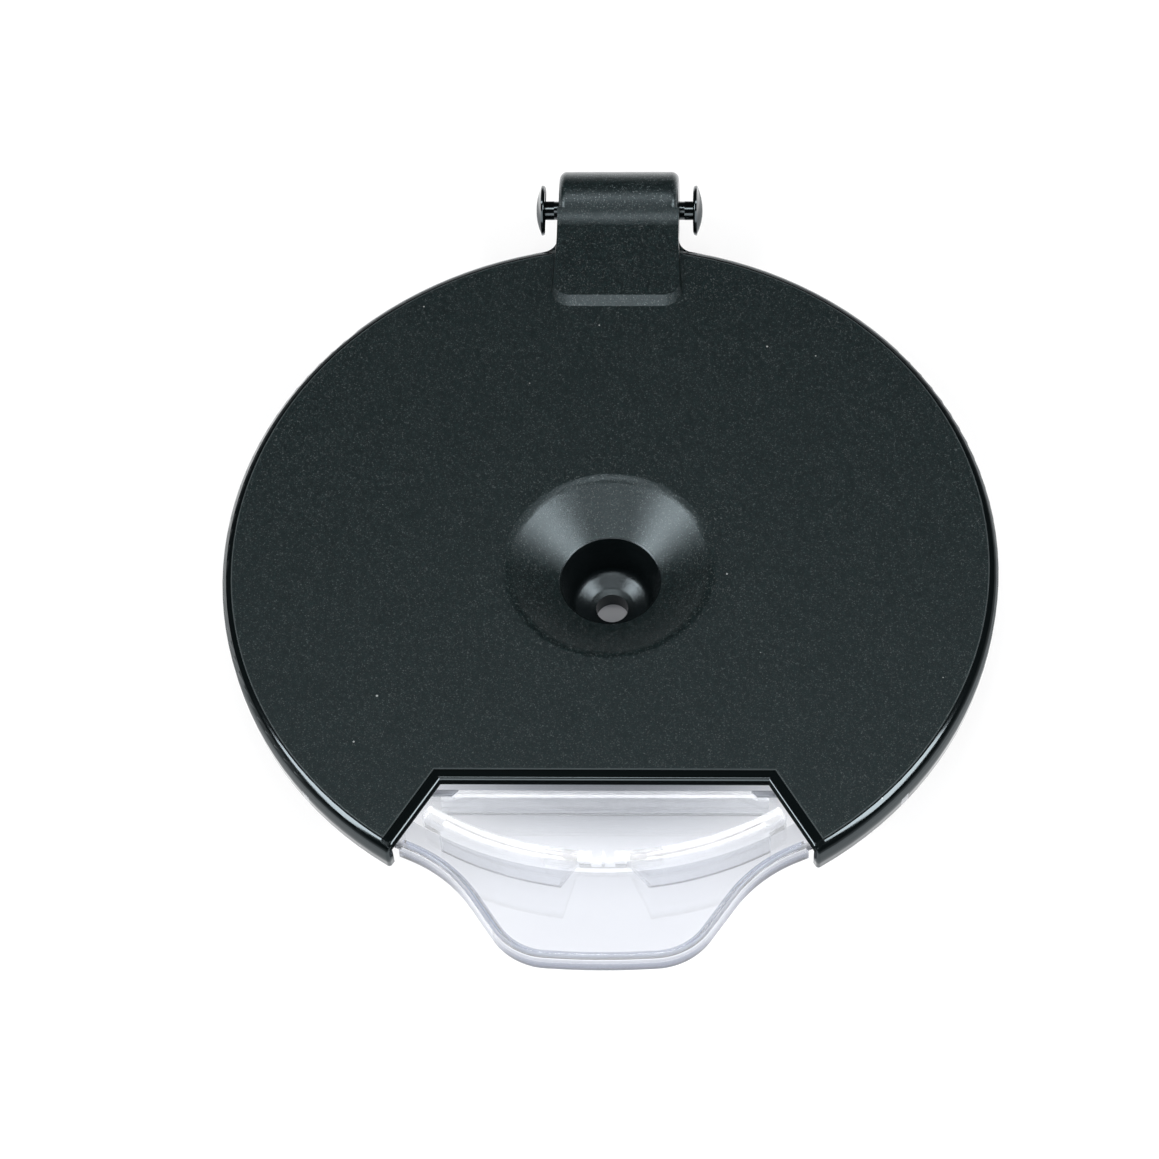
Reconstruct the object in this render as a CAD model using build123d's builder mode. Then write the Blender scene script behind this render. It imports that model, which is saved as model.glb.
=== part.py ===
from build123d import *
from math import acos, asin, cos, degrees, radians, sin, sqrt, tan
import os

os.makedirs("parts", exist_ok=True)

# Lid of a filter-coffee jug, in millimetres. The origin is on the lid's axis,
# in the plane of the skirt's foot, +Z up, with the spout towards -Y.

# Plug skirt that hangs in the jug's mouth
skirt_radius = 50.7
skirt_wall = 1.9
skirt_foot_round = 0.4
skirt_end_gap = 6.0     # along the arc, from the black skirt to the clear one

# Disc and rim
rim_overhang = 9.3      # rim beyond the skirt
rim_break_radius = 0.8  # the rounded edge is three arcs: a break, a shoulder and a turn
rim_shoulder_radius = 2.7
rim_turn_radius = 1.5
rim_break_slope = 22.0  # degrees below level where the break meets the shoulder
rim_turn_slope = 36.0   # degrees below level where the shoulder meets the turn
rim_depth = 6.0         # rim's foot below the top face
rim_wall = 1.2
rim_foot_round = 0.25
rim_tuck_slope = 4.0    # degrees that the rim leans inwards below its widest place
disc_thickness = 1.7
lid_height = 16.2       # top face above the skirt's foot
face_step = 0.12        # the grained face stands this proud of the glossy edges

# Drip funnel
funnel_mouth_radius = 15.85
throat_radius = 7.7
throat_depth = 4.7
well_radius = 5.9
well_length = 6.7
outlet_radius = 3.5     # where the cone below the well meets the drip hole
outlet_length = 1.4
drip_radius = 2.5
drip_bevel = 0.2
drip_land = 3.0         # straight length of the drip hole
funnel_wall = 1.6
funnel_lip_round = 3.0
throat_round = 1.5
well_round = 0.5

# Notch for the spout cover
notch_inset = 12.68     # from the skirt's outer face back to the notch's back wall
notch_angle = 31.4      # degrees that each side wall spreads
notch_apex = 2.88       # the side walls would meet this far behind the lid's axis
notch_round = 0.5
notch_land = 1.35       # polished flat from the notch's rounded edge to the grained face

# Hinge plate, neck and barrel
plate_rise = 1.1
plate_length = 12.2     # from the rim to the foot of the plate's front slope
plate_ledge = 1.05      # the plate is wider than the neck by this on each side
plate_front_run = 1.4   # level length of the plate's front slope
plate_side_run = 0.65   # level length of its side slopes, at the front
plate_corner = 3.2
neck_ledge = 0.15       # the neck is wider than the barrel by this on each side
neck_drop = 3.2         # underside of the neck below the top face
neck_flare = 2.5
barrel_radius = 6.2
barrel_half_length = 9.5
barrel_offset = 8.3     # hinge axis beyond the rim
barrel_drop = 3.6       # hinge axis below the top face
barrel_blend = 6.0      # radius of the hollow curve from the plate up to the barrel
barrel_round = 1.2
barrel_wall = 1.8
barrel_web = 1.6        # rib left in the middle of the barrel's hollow
barrel_foot = 4.5       # the barrel's flat foot below its axis
barrel_mouth = 6.4      # width of the hollow where it opens downwards

# Hinge pins
pin_radius = 1.5
pin_head_radius = 4.0
pin_head_thickness = 1.45
pin_head_rim = 0.6
pin_head_round = 0.4
pin_gap = 2.3           # from the barrel's end to the pin's head, for the handle's clip

# Clear spout cover
fit_gap = 0.1           # clearance between the cover and the lid
cover_thickness = 2.0
cover_tuck = 1.5        # how far the cover reaches under the notch's walls
spout_overhang = 7.85   # spout's tip beyond the rim
spout_front_half = 13.6
spout_front_crown = 0.85
spout_waist_half = 23.5
spout_waist_inset = 8.3  # spout's waist inside the rim
spout_corner_radius = 10.3
spout_waist_radius = 22.0
spout_shoulder_slope = 25.0
lip_depth = 4.5         # lip's foot below the cover's top face
lip_wall = 1.5
lip_round = 0.5
lip_foot_round = 0.35
cover_skirt_length = 9.6
cover_skirt_draft = 0.2
shallow_depth = 3.9     # of the skirt's shallow ends
shallow_length = 2.75   # of the skirt's shallow ends, along the arc
pour_gap_top = 8.0
pour_gap_foot = 13.8
pour_bridge = 2.0       # what is left of the skirt above the pour gap
gate_width = 3.6        # two small pockets in the back of the bridge, with a web between
gate_web = 0.45
gate_depth = 1.2
baffle_inset = 0.3      # straight rib behind the skirt, from the notch's back wall
baffle_thickness = 1.2
baffle_depth = 5.6
baffle_side_gap = 1.65  # from the notch's side wall to the rib's slanted end

# Lugs under the cover's back corners
lug_thickness = 0.6
lug_width = 0.9
lug_inset = 0.15        # from the notch's back wall to the lugs
lug_baffle_gap = 0.25   # from the lugs to the slots in the straight rib
lug_leg_width = 2.6
lug_skirt_gap = 1.85    # from the lugs to the skirt's shallow ends
lug_leg_gap = 0.2       # from the cover's edge to the lugs' legs

# Heights, radii and reaches that follow
rim_radius = skirt_radius + rim_overhang
face_top = lid_height
edge_top = face_top - face_step
disc_underside = face_top - disc_thickness
break_angle = radians(rim_break_slope)
turn_angle = radians(rim_turn_slope)
rim_band = (
    rim_break_radius * sin(break_angle)
    + rim_shoulder_radius * (sin(turn_angle) - sin(break_angle))
    + rim_turn_radius * (1 - sin(turn_angle))
)
rim_round_height = (
    rim_break_radius * (1 - cos(break_angle))
    + rim_shoulder_radius * (cos(break_angle) - cos(turn_angle))
    + rim_turn_radius * cos(turn_angle)
)
tuck_angle = radians(rim_tuck_slope)
tuck_height = rim_depth - face_step - rim_round_height - rim_turn_radius * sin(tuck_angle)
rim_tuck = rim_turn_radius * (1 - cos(tuck_angle)) + tuck_height * tan(tuck_angle)
face_radius = rim_radius - rim_band
rim_foot = face_top - rim_depth
rim_inner_radius = rim_radius - rim_wall
cover_top = disc_underside - fit_gap
cover_underside = cover_top - cover_thickness
spread = tan(radians(notch_angle))
slant = 1 / cos(radians(notch_angle))
funnel_run = (funnel_mouth_radius - throat_radius) / throat_depth
well_depth = throat_depth + well_length
outlet_depth = well_depth + outlet_length
drip_top = face_top - outlet_depth - drip_bevel
funnel_foot = drip_top - drip_land
notch_back = skirt_radius - notch_inset
notch_half_width = (notch_back + notch_apex) * spread
face_margin = notch_round + notch_land
barrel_reach = rim_radius + barrel_offset
neck_half_width = barrel_half_length + neck_ledge
plate_front = rim_radius - plate_length
plate_half_width = neck_half_width + plate_ledge
spout_reach = rim_radius + spout_overhang
spout_waist_reach = rim_radius - spout_waist_inset
spout_front_radius = spout_front_half**2 / (2 * spout_front_crown)
hinge_centre = (barrel_reach, face_top - barrel_drop)
hinge_axis = Axis((0, barrel_reach, face_top - barrel_drop), (1, 0, 0))
plate_face = face_top + plate_rise
blend_angle = acos((barrel_drop + plate_rise + barrel_blend) / (barrel_radius + barrel_blend))
blend_start = barrel_reach - (barrel_radius + barrel_blend) * sin(blend_angle)
neck_end = barrel_reach - barrel_radius + barrel_wall
notch_middle_reach = (notch_back + rim_inner_radius) / 2
lip_foot = cover_top - lip_depth
cover_skirt_foot = cover_underside - cover_skirt_length
gate_reach = skirt_radius - skirt_wall + gate_depth
baffle_back = notch_back + baffle_inset
baffle_front = baffle_back + baffle_thickness
baffle_back_half = notch_half_width - baffle_side_gap - baffle_thickness
baffle_front_half = notch_half_width - baffle_side_gap
lug_top = cover_underside - fit_gap
lug_foot = lug_top - lug_thickness
lug_back = notch_back + lug_inset
lug_front = lug_back + lug_width
lug_tip = baffle_back_half + lug_back - baffle_back + lug_baffle_gap * sqrt(2)
slot_foot = lug_foot - lug_baffle_gap

# Angles each side of the spout's middle: the clear skirt at full depth, its shallow
# ends, and the opening left for them in the black skirt
shallow_end = degrees(acos((lug_front + lug_skirt_gap) / (skirt_radius - skirt_wall)))
cover_skirt_end = shallow_end - degrees(shallow_length / skirt_radius)
skirt_half_gap = shallow_end + degrees(skirt_end_gap / skirt_radius)


def notch_points(grow):
    """Corners of the notch with its three walls moved outwards by grow."""
    back = notch_back - grow
    far = 2 * rim_radius
    half = notch_half_width - grow * spread + grow * slant
    far_half = half + (far - back) * spread
    return [(-half, -back), (half, -back), (far_half, -far), (-far_half, -far)]


def notch_half_at(reach, grow):
    """Half the notch's width at a distance from the axis, its walls moved outwards by grow."""
    return notch_half_width + (reach - notch_back) * spread + grow * slant


def sector_points(half_angle):
    """Wedge with its point on the axis, open towards the spout."""
    far = 2 * rim_radius
    side = far * tan(radians(half_angle))
    return [(0, 0), (-side, -far), (side, -far)]


def upright_plane(angle):
    """Plane through the axis, turned by angle degrees from the spout's middle."""
    outwards = (sin(radians(angle)), -cos(radians(angle)), 0)
    return Plane(origin=(0, 0, 0), x_dir=outwards, z_dir=(outwards[1], -outwards[0], 0))


lug_leg = notch_half_at(lug_front, cover_tuck) + lug_leg_gap
lug_root = lug_leg + lug_leg_width

# Spout's outline: shoulder, waist, front corner, tip and back again
shoulder_rise = (rim_radius - spout_waist_half) * tan(radians(spout_shoulder_slope))
spout_half = [
    (rim_radius, -spout_waist_reach + shoulder_rise),
    (spout_waist_half, -spout_waist_reach),
    (spout_front_half, -spout_reach + spout_front_crown),
]
spout_points = spout_half + [(0, -spout_reach)] + [(-x, y) for x, y in reversed(spout_half)]
spout_back = [spout_points[-1], (-rim_radius, 0), (rim_radius, 0), spout_points[0]]
spout_radii = [
    spout_waist_radius,
    spout_corner_radius,
    spout_front_radius,
    spout_corner_radius,
    spout_waist_radius,
]


# Black lid: one moulding
with BuildPart() as lid:
    # Disc with its rounded, slightly tucked rim
    with BuildSketch(Plane.XZ):
        with BuildLine():
            round_start = (face_radius, edge_top)
            outer_foot = (rim_radius - rim_tuck, rim_foot)
            inner_foot = (rim_inner_radius - rim_tuck, rim_foot)
            Line((0, edge_top), round_start)
            rim_break = JernArc(round_start, (1, 0), rim_break_radius, -rim_break_slope)
            rim_shoulder = JernArc(
                rim_break @ 1,
                rim_break % 1,
                rim_shoulder_radius,
                rim_break_slope - rim_turn_slope,
            )
            rim_turn = JernArc(
                rim_shoulder @ 1,
                rim_shoulder % 1,
                rim_turn_radius,
                rim_turn_slope - 90 - rim_tuck_slope,
            )
            Polyline(
                rim_turn @ 1,
                outer_foot,
                inner_foot,
                (rim_inner_radius, disc_underside),
                (0, disc_underside),
                (0, edge_top),
            )
        make_face()
    revolve(axis=Axis.Z)

    # Plug skirt, left open at the spout
    with BuildSketch():
        Circle(skirt_radius)
        Circle(skirt_radius - skirt_wall, mode=Mode.SUBTRACT)
        Polygon(*sector_points(skirt_half_gap), align=None, mode=Mode.SUBTRACT)
    extrude(amount=disc_underside + disc_thickness / 2)
    skirt_foot_edges = lid.edges().group_by(Axis.Z)[0]
    fillet(skirt_foot_edges.filter_by(GeomType.CIRCLE), radius=skirt_foot_round)

    # Notch with its rounded edge, and then the rim's rounded foot
    with BuildSketch():
        Polygon(*notch_points(0), align=None)
    extrude(amount=lid_height + disc_thickness, mode=Mode.SUBTRACT)
    notch_edges = lid.edges().filter_by(GeomType.LINE).group_by(Axis.Z)[-1]
    fillet(notch_edges, radius=notch_round)
    rim_foot_edges = lid.edges().filter_by(GeomType.CIRCLE).filter_by(
        lambda edge: abs(edge.center().Z - rim_foot) < face_step
    )
    fillet(rim_foot_edges, radius=rim_foot_round)

    # Grained face, a hair proud of the glossy edges round it
    with BuildSketch(Plane.XY.offset(edge_top - disc_thickness / 2)):
        Circle(face_radius)
        Polygon(*notch_points(face_margin), align=None, mode=Mode.SUBTRACT)
    extrude(amount=face_step + disc_thickness / 2)

    # Drip funnel: its outer wall, then the cone, throat, well and drip hole
    with BuildSketch(Plane.XZ):
        with BuildLine():
            Polyline(
                (0, face_top - disc_thickness / 2),
                (funnel_mouth_radius + funnel_wall, face_top - disc_thickness / 2),
                (funnel_mouth_radius + funnel_wall, disc_underside),
                (throat_radius + funnel_wall, face_top - throat_depth - funnel_wall),
                (well_radius + funnel_wall, face_top - well_depth - funnel_wall / 2),
                (outlet_radius + funnel_wall, face_top - outlet_depth - funnel_wall / 2),
                (drip_radius + funnel_wall, funnel_foot),
                (0, funnel_foot),
                close=True,
            )
        make_face()
    revolve(axis=Axis.Z)
    with BuildSketch(Plane.XZ) as funnel_hollow:
        with BuildLine():
            throat = (throat_radius, face_top - throat_depth)
            well = (well_radius, face_top - well_depth)
            outlet = (outlet_radius, face_top - outlet_depth)
            Polyline(
                (0, face_top + face_step),
                (funnel_mouth_radius + face_step * funnel_run, face_top + face_step),
                throat,
                well,
                outlet,
                (drip_radius, drip_top),
                (drip_radius, funnel_foot - drip_land),
                (0, funnel_foot - drip_land),
                close=True,
            )
        make_face()
        corners = funnel_hollow.vertices()
        fillet(corners.sort_by_distance((throat[0], 0, throat[1]))[0], radius=throat_round)
        fillet(funnel_hollow.vertices().sort_by_distance((well[0], 0, well[1]))[0], radius=well_round)
        fillet(funnel_hollow.vertices().sort_by_distance((outlet[0], 0, outlet[1]))[0], radius=well_round)
    revolve(axis=Axis.Z, mode=Mode.SUBTRACT)
    funnel_lip = lid.edges().filter_by(GeomType.CIRCLE).filter_by(
        lambda edge: abs(edge.radius - funnel_mouth_radius) < face_step
    )
    fillet(funnel_lip, radius=funnel_lip_round)

    # Hinge plate with its sloped edges, which die out at the neck
    with BuildSketch(Plane.XY.offset(face_top)) as plate_foot:
        Polygon(
            (-plate_half_width, plate_front),
            (plate_half_width, plate_front),
            (neck_half_width, rim_radius),
            (-neck_half_width, rim_radius),
            align=None,
        )
        fillet(plate_foot.vertices().group_by(Axis.Y)[0], radius=plate_corner)
    with BuildSketch(Plane.XY.offset(plate_face)) as plate_top:
        Polygon(
            (plate_side_run - plate_half_width, plate_front + plate_front_run),
            (plate_half_width - plate_side_run, plate_front + plate_front_run),
            (neck_half_width, rim_radius),
            (-neck_half_width, rim_radius),
            align=None,
        )
        fillet(plate_top.vertices().group_by(Axis.Y)[0], radius=plate_corner - plate_side_run)
    loft(ruled=True)
    extrude(plate_foot.sketch, amount=-disc_thickness / 2)

    # Barrel with rounded ends, and the neck that carries it
    with BuildSketch(Plane.XY.offset(face_top - barrel_drop)) as barrel_profile:
        with Locations((0, barrel_reach)):
            Rectangle(2 * barrel_half_length, barrel_radius, align=(Align.CENTER, Align.MIN))
        fillet(barrel_profile.vertices().group_by(Axis.Y)[-1], radius=barrel_round)
    revolve(axis=hinge_axis)
    with BuildSketch(Plane.XY.offset(face_top - neck_drop)) as neck_outline:
        Circle(rim_radius - rim_tuck)
        with Locations((0, barrel_reach)):
            Rectangle(2 * neck_half_width, barrel_reach, align=(Align.CENTER, Align.MAX))
        fillet(neck_outline.vertices().sort_by(Axis.Y)[-4:-2], radius=neck_flare)
        Circle(rim_inner_radius, mode=Mode.SUBTRACT)
        with Locations((0, neck_end)):
            Rectangle(
                2 * (neck_half_width + neck_flare + rim_wall),
                neck_end,
                align=(Align.CENTER, Align.MAX),
                mode=Mode.INTERSECT,
            )
    extrude(amount=neck_drop - rim_round_height / 2)
    with BuildSketch(Plane.XY.offset(face_top - neck_drop)):
        with Locations((0, neck_end)):
            Rectangle(
                2 * neck_half_width,
                neck_end - face_radius,
                align=(Align.CENTER, Align.MAX),
            )
    extrude(amount=neck_drop + plate_rise)

    # Hollow curve between the plate and the barrel
    with BuildSketch(Plane.YZ.offset(-neck_half_width)):
        with BuildLine():
            blend = CenterArc(
                (blend_start, plate_face + barrel_blend),
                barrel_blend,
                start_angle=-90,
                arc_size=degrees(blend_angle),
            )
            Polyline(
                blend @ 1,
                ((blend @ 1).X, face_top),
                (blend_start, face_top),
                blend @ 0,
            )
        make_face()
    extrude(amount=2 * neck_half_width)

    # Hollow of the barrel, open downwards, with a rib in its middle
    with BuildSketch(Plane.YZ.offset(barrel_web / 2)):
        with Locations(hinge_centre):
            Circle(barrel_radius - barrel_wall)
            Rectangle(barrel_mouth, 2 * barrel_radius, align=(Align.CENTER, Align.MAX))
    extrude(amount=barrel_half_length - barrel_wall - barrel_web / 2, mode=Mode.SUBTRACT)
    with BuildSketch(Plane.YZ.offset(-barrel_web / 2)):
        with Locations(hinge_centre):
            Circle(barrel_radius - barrel_wall)
            Rectangle(barrel_mouth, 2 * barrel_radius, align=(Align.CENTER, Align.MAX))
    extrude(amount=-(barrel_half_length - barrel_wall - barrel_web / 2), mode=Mode.SUBTRACT)
    with BuildSketch(Plane.XY.offset(face_top - barrel_drop - barrel_foot)):
        with Locations((0, barrel_reach)):
            Rectangle(3 * barrel_half_length, 2 * barrel_radius)
    extrude(amount=-barrel_radius, mode=Mode.SUBTRACT)

    # Pins with their domed heads
    with BuildSketch(Plane.XY.offset(face_top - barrel_drop)) as pin_profile:
        with BuildLine():
            head_back = barrel_half_length + pin_gap
            head_face = head_back + pin_head_thickness
            head_edge = head_back + pin_head_rim
            pin_root = barrel_half_length - barrel_wall / 2
            dome_height = pin_head_thickness - pin_head_rim
            dome_radius = (pin_head_radius**2 + dome_height**2) / (2 * dome_height)
            dome_angle = degrees(asin(pin_head_radius / dome_radius))
            Polyline(
                (head_face, barrel_reach),
                (pin_root, barrel_reach),
                (pin_root, barrel_reach + pin_radius),
                (head_back, barrel_reach + pin_radius),
                (head_back, barrel_reach + pin_head_radius),
                (head_edge, barrel_reach + pin_head_radius),
            )
            CenterArc((head_face - dome_radius, barrel_reach), dome_radius, 0, dome_angle)
        make_face()
        head_corner = (head_back, barrel_reach + pin_head_radius, face_top - barrel_drop)
        fillet(pin_profile.vertices().sort_by_distance(head_corner)[0], radius=pin_head_round)
    pin = revolve(axis=hinge_axis)
    mirror(pin, about=Plane.YZ)

    # Lugs that reach under the cover's back corners
    with BuildSketch(Plane.XY.offset(lug_foot)):
        Polygon(
            (lug_tip, -lug_back),
            (lug_root, -lug_back),
            (lug_root, -lug_front),
            (lug_tip + lug_width, -lug_front),
            align=None,
        )
        mirror(about=Plane.YZ)
    extrude(amount=lug_thickness)
    with BuildSketch(Plane.XY.offset(lug_foot)):
        Polygon(
            (lug_leg, -lug_back),
            (lug_root, -lug_back),
            (lug_root, -lug_front),
            (lug_leg, -lug_front),
            align=None,
        )
        mirror(about=Plane.YZ)
    extrude(amount=disc_underside - lug_foot + disc_thickness / 2)

lid.part.label = "lid"
export_step(lid.part, "parts/lid.step")


# Clear spout cover: one moulding
with BuildPart() as spout_cover:
    # Skirt that completes the lid's ring, with a little draft
    with BuildSketch(upright_plane(-cover_skirt_end)) as skirt_profile:
        with BuildLine():
            Polyline(
                (skirt_radius - skirt_wall, cover_top - cover_thickness / 2),
                (skirt_radius, cover_top - cover_thickness / 2),
                (skirt_radius, cover_underside),
                (skirt_radius - cover_skirt_draft, cover_skirt_foot),
                (skirt_radius - skirt_wall, cover_skirt_foot),
                close=True,
            )
        make_face()
        fillet(skirt_profile.vertices().group_by(Axis.Z)[0], radius=skirt_foot_round)
    revolve(axis=Axis.Z, revolution_arc=2 * cover_skirt_end)
    with BuildSketch(upright_plane(-shallow_end)):
        with Locations((skirt_radius - skirt_wall, cover_underside - shallow_depth)):
            Rectangle(
                skirt_wall,
                shallow_depth + cover_thickness / 2,
                align=(Align.MIN, Align.MIN),
            )
    revolve(axis=Axis.Z, revolution_arc=2 * shallow_end)

    # Pour gap in the skirt, wider at its foot, and two small pockets above it
    with BuildSketch(Plane.XZ):
        Polygon(
            (-pour_gap_foot / 2, cover_skirt_foot),
            (pour_gap_foot / 2, cover_skirt_foot),
            (pour_gap_top / 2, cover_underside - pour_bridge),
            (-pour_gap_top / 2, cover_underside - pour_bridge),
            align=None,
        )
    extrude(amount=skirt_radius + skirt_wall, mode=Mode.SUBTRACT)
    with BuildSketch(Plane.XY.offset(cover_underside - pour_bridge)):
        with Locations((gate_web / 2, 0), (-gate_width / 2, 0)):
            Rectangle(
                (gate_width - gate_web) / 2,
                gate_reach,
                align=(Align.MIN, Align.MAX),
            )
    extrude(amount=pour_bridge, mode=Mode.SUBTRACT)

    # Plate: what shows in the notch, and what is tucked under its walls
    with BuildSketch(Plane.XY.offset(cover_underside)):
        Polygon(*notch_points(cover_tuck), align=None)
        Circle(rim_inner_radius - rim_tuck - fit_gap, mode=Mode.INTERSECT)
        Polygon(*notch_points(-fit_gap), align=None)
        with BuildLine():
            FilletPolyline(*spout_points, radius=spout_radii)
            Polyline(*spout_back)
        make_face(mode=Mode.INTERSECT)
    extrude(amount=cover_thickness)
    top_edges = spout_cover.edges().group_by(Axis.Z)[-1]
    spout_edges = top_edges.filter_by(lambda edge: edge.center().Y < -notch_middle_reach)
    fillet(spout_edges, radius=lip_round)

    # Down-turned lip along the spout's edge
    with BuildSketch(Plane.XY.offset(lip_foot)):
        with BuildLine():
            FilletPolyline(*spout_points, radius=spout_radii)
            Polyline(*spout_back)
        make_face()
        offset(amount=-lip_wall, mode=Mode.SUBTRACT)
        Polygon(*notch_points(-fit_gap), align=None, mode=Mode.INTERSECT)
    extrude(amount=lip_depth - cover_thickness / 2 - lip_round / 2)
    lip_edges = spout_cover.edges().filter_by_position(Axis.Z, lip_foot, lip_foot)
    fillet(lip_edges, radius=lip_foot_round)

    # Straight rib behind the skirt, with slots for the lid's lugs at its upper corners
    with BuildSketch(Plane.XY.offset(cover_underside - baffle_depth)):
        with Locations((0, -baffle_back)):
            Rectangle(2 * notch_half_width, baffle_thickness, align=(Align.CENTER, Align.MAX))
    extrude(amount=slot_foot - cover_underside + baffle_depth)
    with BuildSketch(Plane.XY.offset(slot_foot)):
        Polygon(
            (-baffle_back_half, -baffle_back),
            (baffle_back_half, -baffle_back),
            (baffle_front_half, -baffle_front),
            (-baffle_front_half, -baffle_front),
            align=None,
        )
    extrude(amount=cover_underside - slot_foot + cover_thickness / 2)

spout_cover.part.label = "spout_cover"
export_step(spout_cover.part, "parts/spout_cover.step")
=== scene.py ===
import math
import bpy
import numpy as np
from mathutils import Matrix, Vector


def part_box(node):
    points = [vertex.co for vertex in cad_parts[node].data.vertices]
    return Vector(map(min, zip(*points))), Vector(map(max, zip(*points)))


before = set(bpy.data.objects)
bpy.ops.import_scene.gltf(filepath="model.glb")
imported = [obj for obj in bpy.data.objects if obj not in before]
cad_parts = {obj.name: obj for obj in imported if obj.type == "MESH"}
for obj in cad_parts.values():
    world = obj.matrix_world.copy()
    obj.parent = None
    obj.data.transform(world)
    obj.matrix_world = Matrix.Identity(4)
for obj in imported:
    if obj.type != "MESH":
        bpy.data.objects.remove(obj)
scene = bpy.context.scene
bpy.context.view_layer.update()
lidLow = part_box("lid")[0]
mm = 0.001
print("frame loaded")


# Node helpers: sockets take a link or a plain value
def setInput(tree, socket, value):
    if isinstance(value, bpy.types.NodeSocket):
        tree.links.new(value, socket)
    else:
        socket.default_value = value


def addNode(tree, kind, **inputs):
    node = tree.nodes.new(kind)
    for name, value in inputs.items():
        setInput(tree, node.inputs[name.replace("_", " ")], value)
    return node


def doMath(tree, operation, a, b=0.0, c=0.0):
    node = tree.nodes.new("ShaderNodeMath")
    node.operation = operation
    for socket, value in zip(node.inputs, (a, b, c)):
        setInput(tree, socket, value)
    return node.outputs[0]


def smoothStep(tree, value, low, high):
    node = tree.nodes.new("ShaderNodeMapRange")
    node.interpolation_type = "SMOOTHSTEP"
    for name, entry in (("Value", value), ("From Min", low), ("From Max", high)):
        setInput(tree, node.inputs[name], entry)
    return node.outputs["Result"]


def mixColour(tree, factor, a, b):
    node = tree.nodes.new("ShaderNodeMix")
    node.data_type = "RGBA"
    for index, value in ((0, factor), (6, a), (7, b)):
        setInput(tree, node.inputs[index], value)
    return node.outputs[2]


def mixValue(tree, factor, a, b):
    node = tree.nodes.new("ShaderNodeMix")
    for index, value in ((0, factor), (2, a), (3, b)):
        setInput(tree, node.inputs[index], value)
    return node.outputs[0]


# A look's key as a socket's name: faceRadius becomes Face Radius
def socketName(key):
    return "".join(" " + letter if letter.isupper() else letter for letter in key).title()


# A node group with a Place input and an input for each value of its look
def newGroup(name, look, outputs):
    tree = bpy.data.node_groups.new(name, "ShaderNodeTree")
    tree.interface.new_socket("Place", in_out="INPUT", socket_type="NodeSocketVector")
    for key, value in look.items():
        socket = tree.interface.new_socket(socketName(key), in_out="INPUT", socket_type="NodeSocketFloat")
        socket.default_value = value
    for label in outputs:
        tree.interface.new_socket(label, in_out="OUTPUT", socket_type="NodeSocketFloat")
    return tree, tree.nodes.new("NodeGroupInput").outputs, tree.nodes.new("NodeGroupOutput").inputs


def useGroup(tree, group, place, look):
    node = tree.nodes.new("ShaderNodeGroup")
    node.node_tree = group
    setInput(tree, node.inputs["Place"], place)
    for key, value in look.items():
        setInput(tree, node.inputs[socketName(key)], value)
    return node.outputs


def product(tree, *factors):
    result = factors[0]
    for factor in factors[1:]:
        result = doMath(tree, "MULTIPLY", result, factor)
    return result


# 1 where a value lies between two others, else 0
def between(tree, value, low, high):
    return product(tree, doMath(tree, "GREATER_THAN", value, low), doMath(tree, "LESS_THAN", value, high))


def oneMinus(tree, value):
    return doMath(tree, "SUBTRACT", 1.0, value)


# A place's x, y, z and its distance from the lid's axis
def splitPlace(tree, place):
    split = tree.nodes.new("ShaderNodeSeparateXYZ")
    tree.links.new(place, split.inputs[0])
    x, y, z = split.outputs
    squares = doMath(tree, "ADD", product(tree, x, x), product(tree, y, y))
    return x, y, z, doMath(tree, "SQRT", squares)


# How steep a smooth step is at a height, per metre, and 0 above and below it
def stepSlope(tree, height, foot, top):
    span = doMath(tree, "SUBTRACT", top, foot)
    share = doMath(tree, "DIVIDE", doMath(tree, "SUBTRACT", height, foot), span)
    share = doMath(tree, "MINIMUM", doMath(tree, "MAXIMUM", share, 0.0), 1.0)
    return doMath(tree, "DIVIDE", product(tree, share, oneMinus(tree, share), 6.0), span)


# Spark-eroded grain: fine bumps in two sizes as a height and a fleck, and a mask of a few grains that get a painted
# glint
grainLook = {
    "size": 0.15 * mm,
    "coarseShare": 0.28,
    "coarseHeight": 0.25,
    "glintScale": 1.1,
    "fleckFrom": 0.55,
    "fleckTo": 0.95,
    "glintPower": 14.0,
}


def buildGrainGroup(look):
    tree, given, out = newGroup("sparkGrain", look, ("Height", "Fleck", "Glint"))
    place = given["Place"]
    perMetre = doMath(tree, "DIVIDE", 1.0, given["Size"])
    fine = addNode(tree, "ShaderNodeTexNoise", Vector=place, Scale=perMetre, Detail=2.0, Roughness=0.6)
    coarseScale = product(tree, perMetre, given["Coarse Share"])
    coarse = addNode(tree, "ShaderNodeTexNoise", Vector=place, Scale=coarseScale, Detail=1.0)
    height = doMath(tree, "MULTIPLY_ADD", coarse.outputs[0], given["Coarse Height"], fine.outputs[0])
    tree.links.new(height, out["Height"])
    tree.links.new(smoothStep(tree, height, given["Fleck From"], given["Fleck To"]), out["Fleck"])
    glintScale = product(tree, perMetre, given["Glint Scale"])
    grains = addNode(tree, "ShaderNodeTexVoronoi", Vector=place, Scale=glintScale, Randomness=1.0)
    pick = tree.nodes.new("ShaderNodeSeparateColor")
    tree.links.new(grains.outputs["Color"], pick.inputs[0])
    tree.links.new(doMath(tree, "POWER", pick.outputs["Red"], given["Glint Power"]), out["Glint"])
    return tree


# Dust: one small dot somewhere in some of the cells of a 3-D cell pattern
dustLook = {"spacing": 4.5 * mm, "radius": 0.22 * mm, "share": 0.5}


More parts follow.
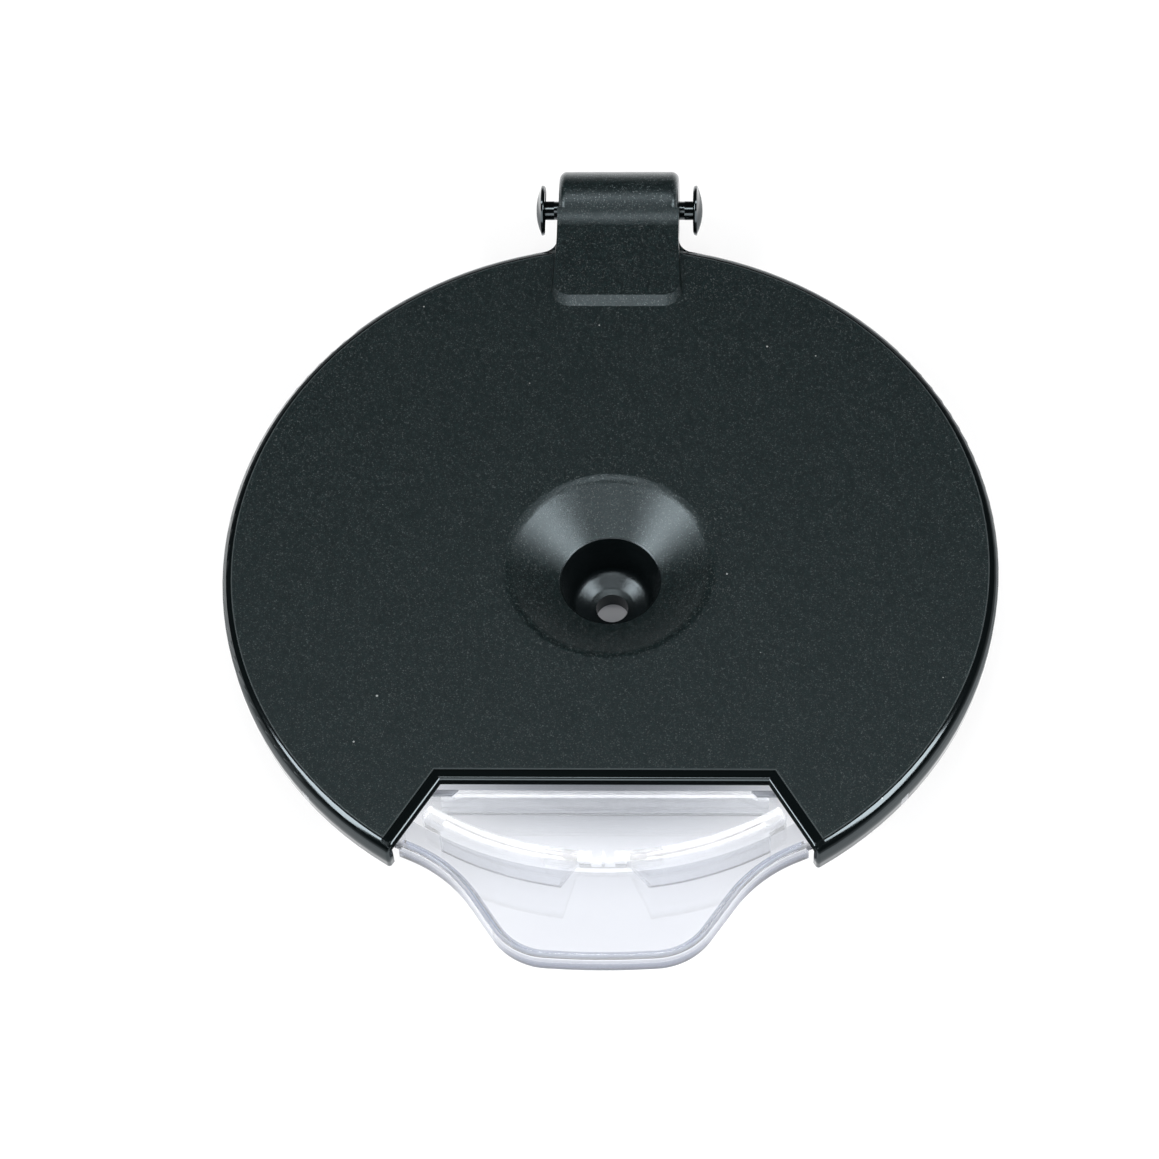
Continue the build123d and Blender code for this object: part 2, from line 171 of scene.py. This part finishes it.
def buildDustGroup(look):
    tree, given, out = newGroup("dustSpecks", look, ("Mask",))
    perMetre = doMath(tree, "DIVIDE", 1.0, given["Spacing"])
    cells = addNode(tree, "ShaderNodeTexVoronoi", Vector=given["Place"], Scale=perMetre, Randomness=1.0)
    pick = tree.nodes.new("ShaderNodeSeparateColor")
    tree.links.new(cells.outputs["Color"], pick.inputs[0])
    radius = product(tree, given["Radius"], perMetre, pick.outputs["Green"])
    near = doMath(tree, "LESS_THAN", cells.outputs["Distance"], radius)
    chosen = doMath(tree, "LESS_THAN", pick.outputs["Red"], given["Share"])
    tree.links.new(product(tree, near, chosen), out["Mask"])
    return tree


# Where the black moulding's finishes lie, measured from the lid's axis and its foot
lidPlaces = {
    "faceRadius": 58.5 * mm,
    "notchBack": 36.17 * mm,
    "notchApex": 2.88 * mm,
    "notchAngle": math.radians(31.4),
    "notchMargin": 1.85 * mm,
    "notchReach": 0.8 * mm,
    "lineWidth": 0.16 * mm,
    "hingeHalf": 10.4 * mm,
    "barrelHalf": 9.6 * mm,
    "barrelFront": 65.3 * mm,
    "wellRadius": 7.9 * mm,
    "lugBack": 1.9 * mm,
    "lugFront": 3.1 * mm,
    "lugTop": 12.4 * mm,
    "notchTop": 16.1 * mm,
    "plateTop": 14.3 * mm,
    "wallTop": 15.7 * mm,
    "wallFoot": 11.6 * mm,
}


# Parts of the lid by place: polished rim and notch edges with a fine line where the grained face ends, painted
# lighter as the highlight on its small step, the pins, the barrel, the well of the funnel, the lugs under the clear
# plate and the tilt of the upright walls.
# The notch's side walls run along lines through a point behind the axis, so their distance is a dot product.
def buildPlaceGroup(look):
    outputs = ("Polished", "Line", "Pin", "Barrel", "Well", "Lug", "Wall Tilt")
    tree, given, out = newGroup("lidParts", look, outputs)
    x, y, z, radius = splitPlace(tree, given["Place"])
    ahead = product(tree, y, -1.0)
    side = doMath(tree, "ABSOLUTE", x)
    behindAxis = doMath(tree, "GREATER_THAN", y, 0.0)
    offHinge = oneMinus(tree, product(tree, behindAxis, doMath(tree, "LESS_THAN", side, given["Hinge Half"])))
    pastFace = doMath(tree, "SUBTRACT", radius, given["Face Radius"])
    outwards = product(tree, side, doMath(tree, "COSINE", given["Notch Angle"]))
    fromApex = doMath(tree, "ADD", ahead, given["Notch Apex"])
    across = doMath(tree, "SUBTRACT", outwards, product(tree, fromApex, doMath(tree, "SINE", given["Notch Angle"])))
    inFan = doMath(tree, "SUBTRACT", given["Notch Margin"], across)
    pastBack = doMath(tree, "SUBTRACT", ahead, given["Notch Back"])
    inNotch = doMath(tree, "MINIMUM", inFan, pastBack)
    reach = doMath(tree, "MAXIMUM", pastFace, inNotch)
    tree.links.new(product(tree, doMath(tree, "GREATER_THAN", reach, 0.0), offHinge), out["Polished"])
    nearLine = smoothStep(tree, doMath(tree, "ABSOLUTE", reach), 0.0, given["Line Width"])
    tree.links.new(product(tree, oneMinus(tree, nearLine), offHinge), out["Line"])
    atBarrel = doMath(tree, "GREATER_THAN", y, given["Barrel Front"])
    onPin = product(tree, atBarrel, doMath(tree, "GREATER_THAN", side, given["Barrel Half"]))
    tree.links.new(onPin, out["Pin"])
    tree.links.new(product(tree, atBarrel, oneMinus(tree, onPin)), out["Barrel"])
    tree.links.new(doMath(tree, "LESS_THAN", radius, given["Well Radius"]), out["Well"])
    overLug = between(tree, pastBack, given["Lug Back"], given["Lug Front"])
    tree.links.new(product(tree, overLug, doMath(tree, "LESS_THAN", z, given["Lug Top"])), out["Lug"])
    onRim = product(tree, doMath(tree, "GREATER_THAN", pastFace, 0.0), offHinge)
    rimTilt = product(tree, stepSlope(tree, z, given["Wall Foot"], given["Wall Top"]), onRim)
    insideNotch = doMath(tree, "GREATER_THAN", inNotch, 0.0)
    offRim = doMath(tree, "LESS_THAN", pastFace, given["Notch Reach"])
    notchTilt = product(tree, stepSlope(tree, z, given["Plate Top"], given["Notch Top"]), insideNotch, offRim)
    tree.links.new(doMath(tree, "MAXIMUM", rimTilt, notchTilt), out["Wall Tilt"])
    return tree


grainGroup = buildGrainGroup(grainLook)
dustGroup = buildDustGroup(dustLook)
placeGroup = buildPlaceGroup(lidPlaces)


def newMaterial(name):
    material = bpy.data.materials.new(name)
    material.use_nodes = True
    tree = material.node_tree
    shader = tree.nodes["Principled BSDF"]
    place = tree.nodes.new("ShaderNodeTexCoord").outputs["Object"]
    return material, tree, shader, place


blackLook = {
    "grainColour": (0.0002, 0.0014, 0.0015, 1.0),
    "fleckColour": (0.009, 0.023, 0.0235, 1.0),
    # Bright colours of the painted glints: on single grains, and brighter over the barrel as its painted highlight
    "paintedGlintColour": (0.06, 0.068, 0.069, 1.0),
    "barrelPaintedGlintColour": (0.1, 0.115, 0.12, 1.0),
    "polishColour": (0.0012, 0.0022, 0.0024, 1.0),
    # The fine line's colour is a painted highlight on the step at the grained face's edge
    "lineHighlightColour": (0.05, 0.06, 0.062, 1.0),
    "lugColour": (0.3, 0.31, 0.33, 1.0),
    "dustColour": (0.28, 0.29, 0.29, 1.0),
    "glossTint": (0.8, 0.94, 1.0, 1.0),
    "grainRoughness": 0.29,
    "wellRoughness": 0.24,
    "pinRoughness": 0.16,
    "polishRoughness": 0.11,
    "grainDepth": 0.032 * mm,
    "wallBend": 1.3 * mm,
    "ior": 1.5,
}


def blackPlastic(look):
    material, tree, shader, place = newMaterial("blackPlastic")
    grain = useGroup(tree, grainGroup, place, grainLook)
    dust = useGroup(tree, dustGroup, place, dustLook)
    part = useGroup(tree, placeGroup, place, lidPlaces)
    # Painted glints: a few grains get a bright colour, brighter on the barrel, where they stand in for the barrel's
    # highlight
    glint = mixColour(tree, part["Barrel"], look["paintedGlintColour"], look["barrelPaintedGlintColour"])
    flecked = mixColour(tree, grain["Fleck"], look["grainColour"], look["fleckColour"])
    grained = mixColour(tree, grain["Glint"], flecked, glint)
    dark = doMath(tree, "MAXIMUM", part["Polished"], doMath(tree, "MAXIMUM", part["Well"], part["Pin"]))
    base = mixColour(tree, dark, grained, look["polishColour"])
    # Painted highlight: a lighter line where the grained face meets the polished band
    base = mixColour(tree, part["Line"], base, look["lineHighlightColour"])
    base = mixColour(tree, dust["Mask"], base, look["dustColour"])
    setInput(tree, shader.inputs["Base Color"], mixColour(tree, part["Lug"], base, look["lugColour"]))
    roughness = mixValue(tree, part["Well"], look["grainRoughness"], look["wellRoughness"])
    roughness = mixValue(tree, part["Pin"], roughness, look["pinRoughness"])
    roughness = mixValue(tree, part["Polished"], roughness, look["polishRoughness"])
    setInput(tree, shader.inputs["Roughness"], roughness)
    grainBump = tree.nodes.new("ShaderNodeBump")
    grainBump.inputs["Distance"].default_value = look["grainDepth"]
    rough = oneMinus(tree, doMath(tree, "MAXIMUM", part["Polished"], part["Pin"]))
    setInput(tree, grainBump.inputs["Height"], product(tree, grain["Height"], rough))
    # The flat walls' normals lean up by their height, so they mirror as the real bent walls do.
    upwards = tree.nodes.new("ShaderNodeCombineXYZ")
    setInput(tree, upwards.inputs["Z"], product(tree, part["Wall Tilt"], look["wallBend"]))
    surface = tree.nodes.new("ShaderNodeNewGeometry")
    leaning = tree.nodes.new("ShaderNodeVectorMath")
    leaning.operation = "ADD"
    tree.links.new(surface.outputs["Normal"], leaning.inputs[0])
    tree.links.new(upwards.outputs[0], leaning.inputs[1])
    straight = tree.nodes.new("ShaderNodeVectorMath")
    straight.operation = "NORMALIZE"
    tree.links.new(leaning.outputs[0], straight.inputs[0])
    tree.links.new(straight.outputs[0], grainBump.inputs["Normal"])
    tree.links.new(grainBump.outputs[0], shader.inputs["Normal"])
    shader.inputs["Specular Tint"].default_value = look["glossTint"]
    shader.inputs["IOR"].default_value = look["ior"]
    return material


# Where the clear moulding is frosted, and where its spout's lip, its skirt and the lip's rounded edge lie
frostPlaces = {
    "inner": 48.5 * mm,
    "outer": 50.9 * mm,
    "top": 12.35 * mm,
    "foot": 10.1 * mm,
    "sideFrom": 3.6 * mm,
    "sideTo": 11.0 * mm,
    "fadeShare": 0.7,
    "ribFront": 41.0 * mm,
    "ribFoot": 7.3 * mm,
}
lipPlaces = {
    "inner": 52.5 * mm,
    "top": 15.4 * mm,
    "foot": 9.8 * mm,
    "plateFoot": 12.3 * mm,
    "plateSkin": 0.08 * mm,
    "skirtInner": 48.3 * mm,
    "skirtOuter": 51.2 * mm,
    "skirtTop": 12.2 * mm,
    "skirtDepth": 0.14,
    "gapHalf": 4.6 * mm,
    "edgeLow": 13.86 * mm,
    "edgeHigh": 14.385 * mm,
}


# Frosted stretches of the clear piece: a band between two radii, below the plate, at each side of the pour
# gap, and the foot of the straight rib
def buildFrostGroup(look):
    tree, given, out = newGroup("frostedBand", look, ("Mask",))
    x, y, z, radius = splitPlace(tree, given["Place"])
    side = doMath(tree, "ABSOLUTE", x)
    inBand = between(tree, radius, given["Inner"], given["Outer"])
    below = between(tree, z, given["Foot"], given["Top"])
    fadeFrom = product(tree, given["Side To"], given["Fade Share"])
    fade = oneMinus(tree, smoothStep(tree, side, fadeFrom, given["Side To"]))
    band = product(tree, inBand, below, doMath(tree, "GREATER_THAN", side, given["Side From"]), fade)
    onRib = doMath(tree, "LESS_THAN", product(tree, y, -1.0), given["Rib Front"])
    ribFoot = product(tree, onRib, doMath(tree, "LESS_THAN", z, given["Rib Foot"]))
    tree.links.new(doMath(tree, "MAXIMUM", band, ribFoot), out["Mask"])
    return tree


# Painted shade on the clear piece: darker towards the foot of the spout's lip, for the shadowed floor seen through
# it, and weaker on the skirt away from the pour gap; and the rounded edge along the lip's top
def buildLipGroup(look):
    tree, given, out = newGroup("lipPaintedShade", look, ("Depth", "Edge"))
    x, y, z, radius = splitPlace(tree, given["Place"])
    outside = doMath(tree, "GREATER_THAN", radius, given["Inner"])
    deep = oneMinus(tree, smoothStep(tree, z, given["Foot"], given["Top"]))
    fromPlate = doMath(tree, "ABSOLUTE", doMath(tree, "SUBTRACT", z, given["Plate Foot"]))
    offPlate = doMath(tree, "GREATER_THAN", fromPlate, given["Plate Skin"])
    lip = product(tree, outside, offPlate, doMath(tree, "LESS_THAN", z, given["Edge High"]), deep)
    inSkirt = between(tree, radius, given["Skirt Inner"], given["Skirt Outer"])
    offGap = doMath(tree, "GREATER_THAN", doMath(tree, "ABSOLUTE", x), given["Gap Half"])
    skirt = product(tree, inSkirt, offGap, doMath(tree, "LESS_THAN", z, given["Skirt Top"]), given["Skirt Depth"])
    tree.links.new(doMath(tree, "MAXIMUM", lip, skirt), out["Depth"])
    tree.links.new(between(tree, z, given["Edge Low"], given["Edge High"]), out["Edge"])
    return tree


frostGroup = buildFrostGroup(frostPlaces)
lipGroup = buildLipGroup(lipPlaces)

clearLook = {
    "colour": (0.955, 0.965, 0.985, 1.0),
    "shadeColour": (0.93, 0.943, 0.972, 1.0),
    # The lip's colour is a painted shade, darkest at the lip's foot
    "lipPaintedShadeColour": (0.08, 0.1, 0.16, 1.0),
    "shadowTint": (0.86, 0.87, 0.89, 1.0),
    "shadeScale": 60.0,
    "roughness": 0.015,
    "edgeRoughness": 0.3,
    "frostRoughness": 0.38,
    "cover": 0.82,
    "lipCover": 0.95,
    "edgeCover": 0.55,
    "ior": 1.53,
}


# Clear plastic. Its shadow lets most of the light through.
def clearPlastic(look):
    material, tree, shader, place = newMaterial("clearPlastic")
    tint = addNode(tree, "ShaderNodeTexNoise", Vector=place, Scale=look["shadeScale"], Detail=1.0)
    shade = mixColour(tree, tint.outputs[0], look["colour"], look["shadeColour"])
    lip = useGroup(tree, lipGroup, place, lipPlaces)
    frost = useGroup(tree, frostGroup, place, frostPlaces)
    # Painted shade: the lip darkens towards its foot, the skirt a little
    setInput(tree, shader.inputs["Base Color"], mixColour(tree, lip["Depth"], shade, look["lipPaintedShadeColour"]))
    smooth = mixValue(tree, lip["Edge"], look["roughness"], look["edgeRoughness"])
    roughness = mixValue(tree, frost["Mask"], smooth, look["frostRoughness"])
    setInput(tree, shader.inputs["Roughness"], roughness)
    cover = mixValue(tree, lip["Depth"], look["cover"], look["lipCover"])
    setInput(tree, shader.inputs["Alpha"], mixValue(tree, lip["Edge"], cover, look["edgeCover"]))
    shader.inputs["IOR"].default_value = look["ior"]
    shader.inputs["Transmission Weight"].default_value = 1.0
    shadow = tree.nodes.new("ShaderNodeBsdfTransparent")
    shadow.inputs["Color"].default_value = look["shadowTint"]
    path = tree.nodes.new("ShaderNodeLightPath")
    mix = tree.nodes.new("ShaderNodeMixShader")
    tree.links.new(path.outputs["Is Shadow Ray"], mix.inputs[0])
    tree.links.new(shader.outputs[0], mix.inputs[1])
    tree.links.new(shadow.outputs[0], mix.inputs[2])
    tree.links.new(mix.outputs[0], tree.nodes["Material Output"].inputs["Surface"])
    return material


black = blackPlastic(blackLook)
clear = clearPlastic(clearLook)
for name, material in (("lid", black), ("spout_cover", clear)):
    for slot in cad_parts[name].material_slots:
        slot.material = material
print("materials built")

stageLook = {
    "floorSize": 6.0,
    "floorGap": 0.02 * mm,
    "paperScale": 8.0,
    "paperRoughness": 0.9,
    "floorColour": (0.26, 0.26, 0.26, 1.0),
    "floorShade": (0.25, 0.25, 0.255, 1.0),
    "whiteLift": 0.74,
    "clearLift": 0.92,
    "glossLift": 1.5,
    "liftUnderLid": 0.06,
    "liftInner": 22 * mm,
    "liftOuter": 52 * mm,
    "shadeUnderLid": (0.82, 0.88, 1.0, 1.0),
    "overhead": 0.05,
    "horizon": 0.8,
    "horizonEdge": 0.02,
    "overheadEdge": 0.35,
    "throughClear": 0.62,
}


# Floor: a matt sheet that keeps the shadow. Rays of the camera and clear plastic see it glow to white, gloss rays
# brighter still; below the lid the glow fades to a faint blue, a painted shadow over the real one where little
# light gets in. From below the sheet isn't there.
def buildFloor(look):
    half = look["floorSize"] / 2
    line = np.linspace(-half, half, 3).tolist()
    points = [(x, y, float(lidLow[2]) - look["floorGap"]) for y in line for x in line]
    faces = [(a, a + 1, a + 4, a + 3) for a in (0, 1, 3, 4)]
    mesh = bpy.data.meshes.new("floor")
    mesh.from_pydata(points, [], faces)
    floor = bpy.data.objects.new("floor", mesh)
    scene.collection.objects.link(floor)
    material, tree, shader, place = newMaterial("floorPaper")
    tone = addNode(tree, "ShaderNodeTexNoise", Vector=place, Scale=look["paperScale"])
    floorShade = mixColour(tree, tone.outputs[0], look["floorColour"], look["floorShade"])
    setInput(tree, shader.inputs["Base Color"], floorShade)
    shader.inputs["Roughness"].default_value = look["paperRoughness"]
    facing = tree.nodes.new("ShaderNodeNewGeometry")
    setInput(tree, shader.inputs["Alpha"], oneMinus(tree, facing.outputs["Backfacing"]))
    path = tree.nodes.new("ShaderNodeLightPath")
    seen = doMath(tree, "MAXIMUM", path.outputs["Is Glossy Ray"], path.outputs["Is Transmission Ray"])
    seen = doMath(tree, "MAXIMUM", path.outputs["Is Camera Ray"], seen)
    reach = tree.nodes.new("ShaderNodeVectorMath")
    reach.operation = "LENGTH"
    tree.links.new(place, reach.inputs[0])
    # Painted shadow: the glow fades out towards the axis and turns blue under the lid
    clearOfLid = smoothStep(tree, reach.outputs["Value"], look["liftInner"], look["liftOuter"])
    mirrored = doMath(tree, "SUBTRACT", path.outputs["Is Glossy Ray"], path.outputs["Is Transmission Ray"])
    mirrored = doMath(tree, "MAXIMUM", mirrored, 0.0)
    white = mixValue(tree, path.outputs["Is Transmission Ray"], look["whiteLift"], look["clearLift"])
    white = mixValue(tree, mirrored, white, look["glossLift"])
    lift = mixValue(tree, clearOfLid, look["liftUnderLid"], white)
    glow = mixColour(tree, clearOfLid, look["shadeUnderLid"], (1.0, 1.0, 1.0, 1.0))
    setInput(tree, shader.inputs["Emission Color"], glow)
    tree.links.new(product(tree, seen, lift), shader.inputs["Emission Strength"])
    mesh.materials.append(material)


# World: dim overhead and pale at the horizon. The camera sees white, and light grey through clear plastic.
def buildWorld(look):
    world = bpy.data.worlds.new("studio")
    scene.world = world
    world.use_nodes = True
    tree = world.node_tree
    background = tree.nodes["Background"]
    direction = tree.nodes.new("ShaderNodeTexCoord").outputs["Generated"]
    split = tree.nodes.new("ShaderNodeSeparateXYZ")
    tree.links.new(direction, split.inputs[0])
    height = doMath(tree, "ABSOLUTE", split.outputs[2])
    above = smoothStep(tree, height, look["horizonEdge"], look["overheadEdge"])
    level = mixValue(tree, above, look["horizon"], look["overhead"])
    path = tree.nodes.new("ShaderNodeLightPath")
    level = mixValue(tree, path.outputs["Is Transmission Ray"], level, look["throughClear"])
    background.inputs["Color"].default_value = (1, 1, 1, 1)
    tree.links.new(mixValue(tree, path.outputs["Is Camera Ray"], level, 1.0), background.inputs["Strength"])


lampLook = {
    "side": {"azimuth": 80, "elevation": 49, "distance": 0.8, "width": 0.3, "height": 0.3, "radiance": 16.0},
    "front": {"azimuth": 0, "elevation": 49, "distance": 0.8, "width": 0.6, "height": 0.32, "radiance": 4.4},
    "top": {"azimuth": 180, "elevation": 82, "distance": 2.2, "width": 0.6, "height": 0.4, "radiance": 13.0},
}


# A soft lamp that faces the lid and isn't seen through clear plastic. Its power comes from how bright its
# face is.
def addLamp(name, look, turn=1):
    lamp = bpy.data.lights.new(name, "AREA")
    lamp.shape = "RECTANGLE"
    lamp.size = look["width"]
    lamp.size_y = look["height"]
    lamp.energy = look["radiance"] * math.pi * look["width"] * look["height"]
    obj = bpy.data.objects.new(name, lamp)
    scene.collection.objects.link(obj)
    a, e = math.radians(turn * look["azimuth"]), math.radians(look["elevation"])
    place = Vector((math.sin(a) * math.cos(e), -math.cos(a) * math.cos(e), math.sin(e))) * look["distance"]
    obj.location = place
    obj.visible_transmission = False
    obj.rotation_euler = place.to_track_quat("Z", "Y").to_euler()


buildFloor(stageLook)
buildWorld(stageLook)
addLamp("lampRight", lampLook["side"])
addLamp("lampLeft", lampLook["side"], -1)
addLamp("lampFront", lampLook["front"])
addLamp("lampTop", lampLook["top"])
print("stage and lamps built")

# Camera fitted to the photograph. Focal length is in pixels of its 1159 pixel frame.
cameraLook = {
    "frameWidth": 1159,
    "sensorWidth": 36.0,
    "clipStart": 0.05,
    "clipEnd": 20.0,
    "focalPixels": 7473.6,
    "distance": 1153.66 * mm,
    "azimuth": 4.72,
    "elevation": 58.78,
    "roll": -3.93,
    "shiftRight": 4.639 * mm,
    "shiftUp": 2.218 * mm,
    "targetHeight": 16.2 * mm,
}


def buildCamera(look):
    a, e, r = (math.radians(look[key]) for key in ("azimuth", "elevation", "roll"))
    forward = Vector((-math.sin(a) * math.cos(e), math.cos(a) * math.cos(e), -math.sin(e)))
    level = Vector((math.cos(a), math.sin(a), 0.0))
    upright = level.cross(forward)
    right = math.cos(r) * level + math.sin(r) * upright
    up = math.cos(r) * upright - math.sin(r) * level
    target = Vector((0.0, 0.0, look["targetHeight"]))
    place = target - forward * look["distance"] - right * look["shiftRight"] - up * look["shiftUp"]
    data = bpy.data.cameras.new("camera")
    data.sensor_width = look["sensorWidth"]
    data.lens = look["sensorWidth"] * look["focalPixels"] / look["frameWidth"]
    data.clip_start = look["clipStart"]
    data.clip_end = look["clipEnd"]
    camera = bpy.data.objects.new("camera", data)
    scene.collection.objects.link(camera)
    turn = Matrix((right, up, -forward)).transposed().to_4x4()
    camera.matrix_world = Matrix.Translation(place) @ turn
    scene.camera = camera


buildCamera(cameraLook)
scene.view_settings.view_transform = "Standard"
print("camera placed")
